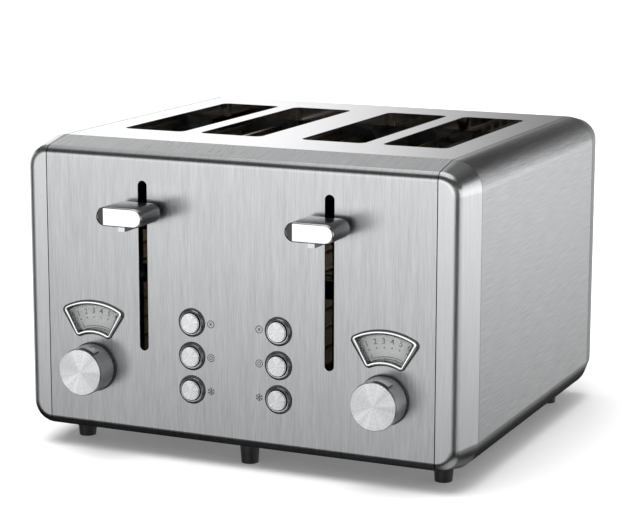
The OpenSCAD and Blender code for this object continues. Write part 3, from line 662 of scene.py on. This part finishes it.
def knob_centre(side):
    """Centre of the knob's front face; the index tab on top makes its box taller than it is wide."""
    low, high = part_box("knob_" + side)
    return Vector(((low.x + high.x) / 2, low.y, low.z + (high.x - low.x) / 2))


def knob_section(section, centre, radius):
    """Section of a knob as points of (radius, y)."""
    return [(share * radius - inset * MM, centre.y + depth * MM) for share, inset, depth in section]


def make_knob(side, materials):
    """Spun disc and brushed skirt with a groove between them, black as painted shade, and an index tab in a
    black outline of painted shade.
    """
    centre = knob_centre(side)
    low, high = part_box("knob_" + side)
    radius = (high.x - low.x) / 2
    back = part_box("knob_collars")[0].y - KNOB_BACK_GAP
    skirt = knob_section(KNOB_SKIRT_FRONT, centre, radius) + [
        (radius, back - KNOB_SKIRT_BEVEL), (radius - KNOB_SKIRT_BEVEL, back),
        (SPINDLE_RADIUS, back), (SPINDLE_RADIUS, high.y), (0.0, high.y),
    ]
    turned = [
        ("knob_face_", knob_section(KNOB_DISC, centre, radius), "spun", "knob_metal"),
        # Black as painted shade in the gap between disc and skirt
        ("knob_shade_groove_", knob_section(KNOB_SHADE_GROOVE, centre, radius), "black", "knob_black"),
        ("knob_skirt_", skirt, "skirt", "knob_metal"),
    ]
    for name, profile, material, slot in turned:
        mesh = lathe(name + side, centre, profile)
        piece = add_piece(name + side, mesh, "knob_" + side, materials[material])
    # The skirt, last of the three, stands in for the CAD knob
    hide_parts("knob_" + side)
    tabs = [
        # Black outline of painted shade round the tab, the shadow of its pocket in the rim
        ("knob_tab_shade_", TAB_SHADE_MARGIN, "black", "knob_black"),
        ("knob_tab_", 0.0, "skirt", "knob_metal"),
    ]
    for name, grow, material, slot in tabs:
        mesh = knob_tab(name + side, centre, radius, grow)
        add_piece(name + side, mesh, "knob_" + side, materials[material])


def knob_tab(name, centre, radius, grow):
    """Index tab that rises from the knob's rim and runs back along it; grow widens it into its black outline
    of painted shade.
    """
    start = TAB_START - grow / radius
    end = TAB_END + grow / radius
    low = radius - TAB_SINK
    high = radius + TAB_RISE - TAB_SHADE_DROP * grow
    front = centre.y + TAB_SET_BACK - grow
    reach = TAB_LENGTH + 2 * grow
    rings = []
    for k in range(TAB_STEPS + 1):
        share = k / TAB_STEPS
        angle = start + (end - start) * share
        rim = low + (high - low) * min(1.0, TAB_FIRST_SHARE + share * TAB_CLIMB)
        back = front + reach * min(1.0, TAB_FIRST_SHARE + share)
        section = [
            (low, front), (rim - TAB_EDGE / 2, front),
            (rim, front + TAB_EDGE), (rim, back - TAB_EDGE), (low, back),
        ]
        rings.append([on_plane(polar(centre, r, angle), y) for r, y in section])
    builder = bmesh.new()
    tube(builder, rings, first_cap=True, last_cap=True)
    return finish_mesh(name, builder)


def stadium(centre, half, radius, steps=14):
    """Outline with round ends, from the lower left, clockwise as seen from the front."""
    points = []
    for sign, first in ((-1, 180), (1, 0)):
        for k in range(steps + 1):
            angle = math.radians(first + 180 * k / steps)
            x = centre.x + sign * half + radius * math.sin(angle)
            points.append((x, centre.z + radius * math.cos(angle)))
    return points


def make_handle(side, materials):
    """Handle with a soft edge round a mirror face, whose left end falls back a little."""
    node = "lever_handle_" + side
    low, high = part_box(node)
    centre = (low + high) / 2
    radius = (high.z - low.z) / 2
    half = (high.x - low.x) / 2 - radius
    loops = [(GRIP_BACK_EDGE, high.y), (0.0, high.y - GRIP_BACK_EDGE)]
    loops += [(inset * MM, low.y + depth * MM) for inset, depth in GRIP_EDGE]
    rings = [[on_plane(point, y) for point in stadium(centre, half, radius - inset)] for inset, y in loops]
    builder = bmesh.new()
    tube(builder, rings, first_cap=True)
    body = finish_mesh("lever_grip_" + side, builder, math.radians(30))
    piece = add_piece("lever_grip_" + side, body, "lift_" + side, materials["grip"])
    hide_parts(node)

    reach = radius - MIRROR_INSET
    outline = stadium(centre, half, reach)
    fold_x = low.x + MIRROR_FOLD_SHARE * (high.x - low.x)
    lift = math.sqrt(reach ** 2 - (centre.x - half - fold_x) ** 2)
    fold = [(fold_x, centre.z + lift), (fold_x, centre.z - lift)]
    clear = 0.1 * MM
    left_part = [p for p in outline if p[0] < fold_x - clear] + fold
    right_part = [p for p in outline if p[0] > fold_x + clear] + fold[::-1]
    builder = bmesh.new()
    add_mirror(builder, left_part, centre, fold_x, low.y, MIRROR_FALL)
    add_mirror(builder, right_part, centre, fold_x, low.y, 0.0)
    face = finish_mesh("lever_face_" + side, builder, math.radians(5))
    add_piece("lever_face_" + side, face, "lift_" + side, materials["mirror"])


def add_mirror(builder, points, centre, fold_x, front_y, fall):
    """Adds one flat of the handle's face with its edge; fall is its slope to the left of the fold."""
    middle_x = sum(x for x, z in points) / len(points)
    ordered = sorted(points, key=lambda p: math.atan2(p[1] - centre.z, p[0] - middle_x))
    front = [builder.verts.new((x, front_y + max(0.0, fold_x - x) * fall, z)) for x, z in ordered]
    builder.faces.new(front)
    for near, far in zip(front, front[1:] + front[:1]):
        on_fold = {round(near.co.x, 6), round(far.co.x, 6)} == {round(fold_x, 6)}
        if not on_fold:
            edge = [builder.verts.new((v.co.x, front_y + MIRROR_DEPTH, v.co.z)) for v in (far, near)]
            builder.faces.new((near, far, *edge))


def figure_mesh(figure, place):
    """One figure of the dial as a flat mesh, moved to its place."""
    curve = bpy.data.curves.new("figure", "FONT")
    curve.body = str(figure)
    curve.size = FIGURE_HEIGHT
    curve.align_x = "CENTER"
    curve.align_y = "CENTER"
    curve.offset = FIGURE_WEIGHT
    holder = bpy.data.objects.new("figure", curve)
    bpy.context.scene.collection.objects.link(holder)
    bpy.context.view_layer.update()
    mesh = bpy.data.meshes.new_from_object(holder.evaluated_get(bpy.context.evaluated_depsgraph_get()))
    mesh.transform(place @ Matrix.Rotation(math.pi / 2, 4, "X"))
    bpy.data.objects.remove(holder)
    return mesh


def make_dial_print(side, materials):
    """Figures 1 to 6 with dots, and two arcs with a tick, on the dial card."""
    centre = knob_centre(side)
    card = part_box("gauge_dials")[0].y
    builder = bmesh.new()
    for figure in FIGURES:
        angle = (figure - MIDDLE_FIGURE) * FIGURE_STEP
        x, z = polar(centre, FIGURE_RADIUS, angle)
        place = Matrix.Translation((x, card - PRINT_THICKNESS, z)) @ Matrix.Rotation(angle, 4, "Y")
        builder.from_mesh(figure_mesh(figure, place))
        dot = Vector(on_plane(polar(centre, DOT_RADIUS, angle), card))
        outline = [polar(dot, DOT_SIZE, math.radians(30 * k)) for k in range(12)]
        flat_marks(builder, [outline], card, PRINT_THICKNESS)
    for inner, outer in DIAL_ARCS:
        quads = arc_band(centre, inner, outer, -DIAL_ARC_HALF, DIAL_ARC_HALF, 24)
        flat_marks(builder, quads, card, PRINT_THICKNESS)
    length, width = DIAL_TICK
    tick = bar(centre, length, width, -DIAL_ARC_HALF, start=DIAL_ARCS[0][0])
    flat_marks(builder, [tick], card, PRINT_THICKNESS)
    mesh = finish_mesh("dial_print_" + side, builder)
    add_piece("dial_print_" + side, mesh, "housing", materials["ink"])


def cross_mark(centre):
    """Outlines of a cross in a ring."""
    length = 2.7 * MM
    bars = [bar(centre, length, MARK_LINE, math.radians(45 + 90 * k), start=-length / 2) for k in (0, 1)]
    return bars + arc_band(centre, MARK_RADIUS - MARK_LINE, MARK_RADIUS, 0.0, 2 * math.pi, 36)


def ring_mark(centre):
    """Outlines of a small ring in a large one."""
    core = 0.8 * MM
    outer = arc_band(centre, MARK_RADIUS - MARK_LINE, MARK_RADIUS, 0.0, 2 * math.pi, 36)
    return outer + arc_band(centre, core, core + MARK_LINE, 0.0, 2 * math.pi, 24)


def crystal_mark(centre):
    """Outlines of a snow crystal with six forked arms."""
    outlines = []
    for k in range(6):
        angle = math.radians(60 * k)
        outlines.append(bar(centre, MARK_RADIUS - 0.2 * MM, MARK_LINE, angle, start=0.2 * MM))
        fork = Vector(on_plane(polar(centre, 1.5 * MM, angle), centre.y))
        outlines += [bar(fork, 0.95 * MM, MARK_LINE * 0.85, angle + math.radians(s * 55)) for s in (-1, 1)]
    return outlines


def make_button_marks(side, materials):
    """Plain marks beside the buttons: a cross in a ring, a double ring and a snow crystal."""
    sign = -1 if side == LEFT else 1
    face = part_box("front_panel")[0].y
    builder = bmesh.new()
    for row, mark in zip(ROWS, (cross_mark, ring_mark, crystal_mark)):
        button = middle(f"button_{side}_{row}")
        centre = Vector((button.x - sign * MARK_FROM_BUTTON, face, button.z))
        flat_marks(builder, mark(centre), face, MARK_THICKNESS)
    mesh = finish_mesh("button_marks_" + side, builder)
    add_piece("button_marks_" + side, mesh, "housing", materials["ink"])


def make_spring(side, materials):
    """Coil spring round the guide rod, made as a fixed coil on the housing; the real spring shortens as the
    lever goes down.
    """
    node = "lift_spring_" + side
    low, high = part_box(node)
    centre = (low + high) / 2
    length = high.z - low.z
    radius = (high.x - low.x) / 2 - SPRING_WIRE
    steps = SPRING_TURNS * SPRING_STEPS
    up = Vector((0.0, 0.0, 1.0))
    turns = [2 * math.pi * m / WIRE_SIDES for m in range(WIRE_SIDES)]
    rings = []
    for k in range(steps + 1):
        turn = 2 * math.pi * k / SPRING_STEPS
        out = Vector((math.cos(turn), math.sin(turn), 0.0))
        height = low.z + SPRING_WIRE + (length - 2 * SPRING_WIRE) * k / steps
        core = Vector((centre.x, centre.y, height)) + out * radius
        rings.append([core + SPRING_WIRE * (out * math.cos(a) + up * math.sin(a)) for a in turns])
    builder = bmesh.new()
    tube(builder, rings, first_cap=True, last_cap=True)
    mesh = finish_mesh("lift_coil_" + side, builder, math.radians(60))
    piece = add_piece("lift_coil_" + side, mesh, "housing", materials["screw"])
    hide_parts(node)
    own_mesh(piece)


def gauge_outline(centre, outer, inner, half, corner):
    """Ring segment with round corners, clockwise as seen from the front."""
    outer_half = half - math.asin(corner / (outer - corner))
    inner_half = half - math.asin(corner / (inner + corner))
    points = [polar(centre, outer, outer_half * k / 10) for k in range(-10, 11)]

    def round_corner(radius, angle, start, end):
        x, z = polar(centre, radius, angle)
        turn = Vector((x, 0.0, z))
        return [polar(turn, corner, start + (end - start) * k / 6) for k in range(1, 7)]

    right_angle = math.pi / 2
    points += round_corner(outer - corner, outer_half, outer_half, right_angle + half)
    points += round_corner(inner + corner, inner_half, right_angle + half, math.pi + inner_half)
    points += [polar(centre, inner, inner_half * k / 8) for k in range(7, -9, -1)]
    points += round_corner(inner + corner, -inner_half, math.pi - inner_half, math.pi * 1.5 - half)
    points += round_corner(outer - corner, -outer_half, math.pi * 1.5 - half, 2 * math.pi - outer_half)
    return points


def gauge_ring(builder, side, section):
    """Adds a ring along a gauge's outline, with the given section."""
    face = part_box("front_panel")[0].y
    centre = knob_centre(side)
    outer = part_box("gauge_bezels")[1].z - centre.z
    inner = outer - GAUGE_BAND
    rings = []
    for inset, height in section:
        half = GAUGE_HALF - GAUGE_END_STEP * inset * MM / outer
        corner = max(GAUGE_CORNER - inset * MM, GAUGE_LEAST_CORNER)
        outline = gauge_outline(centre, outer - inset * MM, inner + inset * MM, half, corner)
        rings.append([on_plane(point, face - height * MM) for point in outline])
    tube(builder, rings, closed=True)


def button_ring(builder, button, section):
    """Adds a ring round a button, with the given section."""
    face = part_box("front_panel")[0].y
    centre = middle(button)
    turns = [2 * math.pi * k / BUTTON_STEPS for k in range(BUTTON_STEPS)]
    rings = []
    for radius, height in section:
        rings.append([on_plane(polar(centre, radius * MM, a), face - height * MM) for a in turns])
    tube(builder, rings, closed=True)


def add_trim(name, builder, material):
    """Adds a piece of trim that stays on the housing."""
    return add_piece(name, finish_mesh(name, builder), "housing", material)


def make_trim(materials):
    """Gauge frames and button rings, each between black rings of painted shade."""
    frames, frame_shade_rings = bmesh.new(), bmesh.new()
    for side in SIDES:
        gauge_ring(frames, side, GAUGE_FRAME)
        gauge_ring(frame_shade_rings, side, GAUGE_SHADE_OUTLINE)
        gauge_ring(frame_shade_rings, side, GAUGE_SHADE_LINER)
    frame_piece = add_trim("gauge_frames", frames, materials["frame"])
    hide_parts("gauge_bezels")
    # Black outlines and liners of painted shade round both gauges
    add_trim("gauge_painted_shade", frame_shade_rings, materials["black"])
    rings, button_shade_rings = bmesh.new(), bmesh.new()
    for side in SIDES:
        for row in ROWS:
            button = f"button_{side}_{row}"
            button_ring(rings, button, BUTTON_SURROUND)
            button_ring(button_shade_rings, button, BUTTON_SHADE_LINER)
            button_ring(button_shade_rings, button, BUTTON_SHADE_OUTLINE)
    ring_piece = add_trim("button_surrounds", rings, materials["ring"])
    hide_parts("button_rings")
    # Black outlines and liners of painted shade round every button
    add_trim("button_painted_shade", button_shade_rings, materials["black"])


# ---- Floor, world and lights ----

FLOOR_HALF = 9.0
FLOOR_GLOW = 0.15
WORLD_STRENGTH = 1.3
# Brightness of the studio by elevation in degrees, as a share of the world's strength
STUDIO_RINGS = [
    (-90, 0.3), (-48, 0.3), (-38, 0.0), (-32, 0.0), (-19, 0.16), (-7, 0.94),
    (0, 0.97), (15, 0.88), (19, 0.05), (57, 0.05), (63, 0.8), (90, 0.85),
]
# Patches of the studio that are darker or brighter, as (azimuth from the front towards +X, half width,
# lowest and highest elevation, softness) and a share of the brightness there
STUDIO_CARDS = [
    ((-90, 85, -90, -34, 5.0), 0.02),
    ((42, 26, -40, 16, 2.0), 0.07),
    ((-66, 26, -40, 16, 1.5), 0.07),
    ((-143, 20, 16, 60, 4.0), 8.0),
    ((180, 22, -3, 20, 6.0), 0.2),
    ((186, 20, -40, 1, 3.0), 0.2),
    ((-20, 30, -30, 4, 4.0), 1.3),
    ((128, 14, -30, 6, 4.0), 1.25),
]
# Lights as (name, place it shines from, spread in degrees, power)
LIGHTS = [("key", (-0.3, -0.6, 2.2), 50, 2.4), ("fill", (0.5, -0.7, 1.9), 80, 0.9)]


def make_floor():
    """Plain pale floor, which metal doesn't reflect."""
    mesh = bpy.data.meshes.new("floor")
    corners = [(x * FLOOR_HALF, y * FLOOR_HALF, 0) for x, y in ((-1, -1), (1, -1), (1, 1), (-1, 1))]
    mesh.from_pydata(corners, [], [(0, 1, 2, 3)])
    floor = bpy.data.objects.new("floor", mesh)
    bpy.context.scene.collection.objects.link(floor)
    look = Look("floor_paper", Roughness=0.9)
    look.set("Base Color", look.ramp(look.noise(5.0, detail=3.0), [(0.3, 0.88), (0.7, 0.9)]))
    look.shader.inputs["Emission Color"].default_value = (1.0, 1.0, 1.0, 1.0)
    look.shader.inputs["Emission Strength"].default_value = FLOOR_GLOW
    mesh.materials.append(look.material)
    floor.visible_glossy = False


def make_world():
    """White backdrop to look at, and a studio of bright and dark cards for metal to reflect."""
    world = bpy.data.worlds.new("studio")
    world.use_nodes = True
    bpy.context.scene.world = world
    tree = world.node_tree
    background = tree.nodes["Background"]
    way = add_node(tree, "ShaderNodeTexCoord").outputs["Generated"]
    axes = add_node(tree, "ShaderNodeSeparateXYZ", {0: way}).outputs
    in_degrees = 180 / math.pi
    elevation = math_node(tree, "MULTIPLY", math_node(tree, "ARCSINE", axes["Z"]), in_degrees)
    towards_front = math_node(tree, "MULTIPLY", axes["Y"], -1.0)
    azimuth = math_node(tree, "MULTIPLY", math_node(tree, "ARCTAN2", axes["X"], towards_front), in_degrees)
    height = remap(tree, elevation, -90.0, 90.0, 0.0, 1.0)
    rings = ramp(tree, height, [((degrees + 90) / 180, share) for degrees, share in STUDIO_RINGS])
    level = add_node(tree, "ShaderNodeRGBToBW", {0: rings}).outputs[0]

    def patch(azimuth_middle, azimuth_half, elevation_low, elevation_high, soft):
        """1 inside a patch of the studio, 0 outside."""
        turned = math_node(tree, "WRAP", math_node(tree, "SUBTRACT", azimuth, azimuth_middle), 180.0, -180.0)
        off = math_node(tree, "ABSOLUTE", turned)
        across = remap(tree, off, azimuth_half - soft, azimuth_half + soft, 1.0, 0.0, smooth=True)
        low = remap(tree, elevation, elevation_low - soft, elevation_low + soft, 0.0, 1.0, smooth=True)
        high = remap(tree, elevation, elevation_high - soft, elevation_high + soft, 1.0, 0.0, smooth=True)
        return math_node(tree, "MULTIPLY", across, math_node(tree, "MULTIPLY", low, high))

    for card, share in STUDIO_CARDS:
        gain = math_node(tree, "MULTIPLY_ADD", patch(*card), share - 1.0, 1.0)
        level = math_node(tree, "MULTIPLY", level, gain)
    seen = add_node(tree, "ShaderNodeLightPath").outputs["Is Camera Ray"]
    tree.links.new(math_node(tree, "MAXIMUM", level, seen), background.inputs["Color"])
    background.inputs["Strength"].default_value = WORLD_STRENGTH


def make_light(name, place, spread, power):
    """Even light from a wide soft source, seen only as light and not as a reflection."""
    data = bpy.data.lights.new(name, "SUN")
    data.angle = math.radians(spread)
    data.energy = power
    light = bpy.data.objects.new(name, data)
    bpy.context.scene.collection.objects.link(light)
    light.location = place
    light.rotation_euler = (-Vector(place)).to_track_quat("-Z", "Y").to_euler()
    light.visible_glossy = False


# ---- Assembly ----

# How finely the brushing varies along X, Y and Z; the streaks run along the lowest
HOUSING_STREAK = (1400.0, 66.0, 66.0)
SIDE_STREAK = (1500.0, 40.0, 1700.0)
CORNER_STREAK = (1400.0, 1400.0, 66.0)
# Heating ribbon on the mica: height of its lowest turn, step from turn to turn, and width
RIBBON_LOW = 53 * MM
RIBBON_PITCH = 13 * MM
RIBBON_HEIGHT = 2 * MM


def make_materials():
    """All materials by short name."""
    return {
        "front": brushed_steel("front_steel", HOUSING_STREAK, tangent=(1.0, 0.0, 0.0), contrast=0.12),
        "corner": round_brushed_steel("corner_steel", CORNER_STREAK, level=0.72),
        "side": brushed_steel("side_steel", SIDE_STREAK, tangent=(0.0, 1.0, 0.0), turn=0.25, level=0.6,
                              contrast=0.1, rough=0.24, anisotropy=0.25, long_share=0.0),
        "top": polished_steel("top_steel"),
        "base": zinc_steel("base_steel", level=0.3),
        "feet": moulded_plastic("foot_plastic"),
        # Black plastic, also used for the black outlines, liners, groove and tab outline of painted shade
        "black": moulded_plastic("black_plastic_and_painted_shade", rough=0.3),
        "screw": satin_metal("screw_steel", level=0.55, rough=0.3),
        # Chassis steel darkened to level 0.1 as painted shade, so that the lever slots and the compartment
        # behind them read dark
        "chassis": zinc_steel("chassis_steel", level=0.1),
        "mica": mica_sheet("mica_and_ribbon", RIBBON_LOW, RIBBON_PITCH, RIBBON_HEIGHT),
        "wire": heated_wire("heated_wire"),
        "grip": satin_metal("grip_chrome", level=0.74, rough=0.2),
        "mirror": chrome("mirror_chrome", level=0.92, rough=0.03),
        "chrome": chrome("trim_chrome"),
        "frame": chrome("frame_chrome", level=0.9, rough=0.12),
        "ring": chrome("ring_chrome", level=0.5, rough=0.25),
        "cap": spun_metal("cap_metal", level=0.9, rough=0.16, rings=18.0),
        "skirt": satin_metal("skirt_metal", level=0.9, rough=0.5, streak=(700.0, 700.0, 700.0)),
        "spun": spun_metal("spun_metal"),
        "card": dial_card("dial_card"),
        "ink": printed_ink("printed_ink"),
        "window": clear_window("clear_window"),
        "brass": brass("needle_brass"),
        "board": circuit_board("circuit_board"),
        "coil": coil_winding("coil_winding"),
        "tray": zinc_steel("tray_steel", level=0.5, rough=0.3, flake=70.0),
        "arm": chrome("arm_steel", level=0.7, rough=0.12),
    }


LOOK_OF_SLOT = {
    "front_steel": "front", "side_steel": "side", "top_steel": "top", "base_steel": "base",
    "foot_plastic": "feet", "screw_steel": "screw", "chassis_steel": "chassis", "mica": "mica",
    "wire_steel": "wire", "lever_plastic": "grip", "knob_metal": "spun", "knob_black": "black",
    "trim_chrome": "chrome", "dial_card": "card", "lens_clear": "window", "needle_brass": "brass",
    "circuit": "board", "coil": "coil", "tray_steel": "tray",
}


def look_of(node, slot):
    """Name of a CAD node's material, from its own name or else from its slot."""
    if "corner" in node:
        return "corner"
    if node.startswith("carriage"):
        return "arm"
    if node.startswith("button_"):
        return "ring" if node == "button_rings" else "cap"
    if node.startswith("lift_spring"):
        return "screw"
    return LOOK_OF_SLOT[slot]


def paint_frame(materials):
    """Gives every CAD node its material."""
    for part in frame["record"]["subparts"]:
        mesh = nodes[part["node"]].data
        mesh.materials.clear()
        mesh.materials.append(materials[look_of(part["node"], part["material_slot"])])


bpy.context.scene.view_settings.view_transform = "Standard"
make_camera()
make_world()
make_floor()
for light in LIGHTS:
    make_light(*light)
materials = make_materials()
paint_frame(materials)
for side in SIDES:
    make_knob(side, materials)
    make_handle(side, materials)
    make_dial_print(side, materials)
    make_button_marks(side, materials)
    make_spring(side, materials)
make_trim(materials)
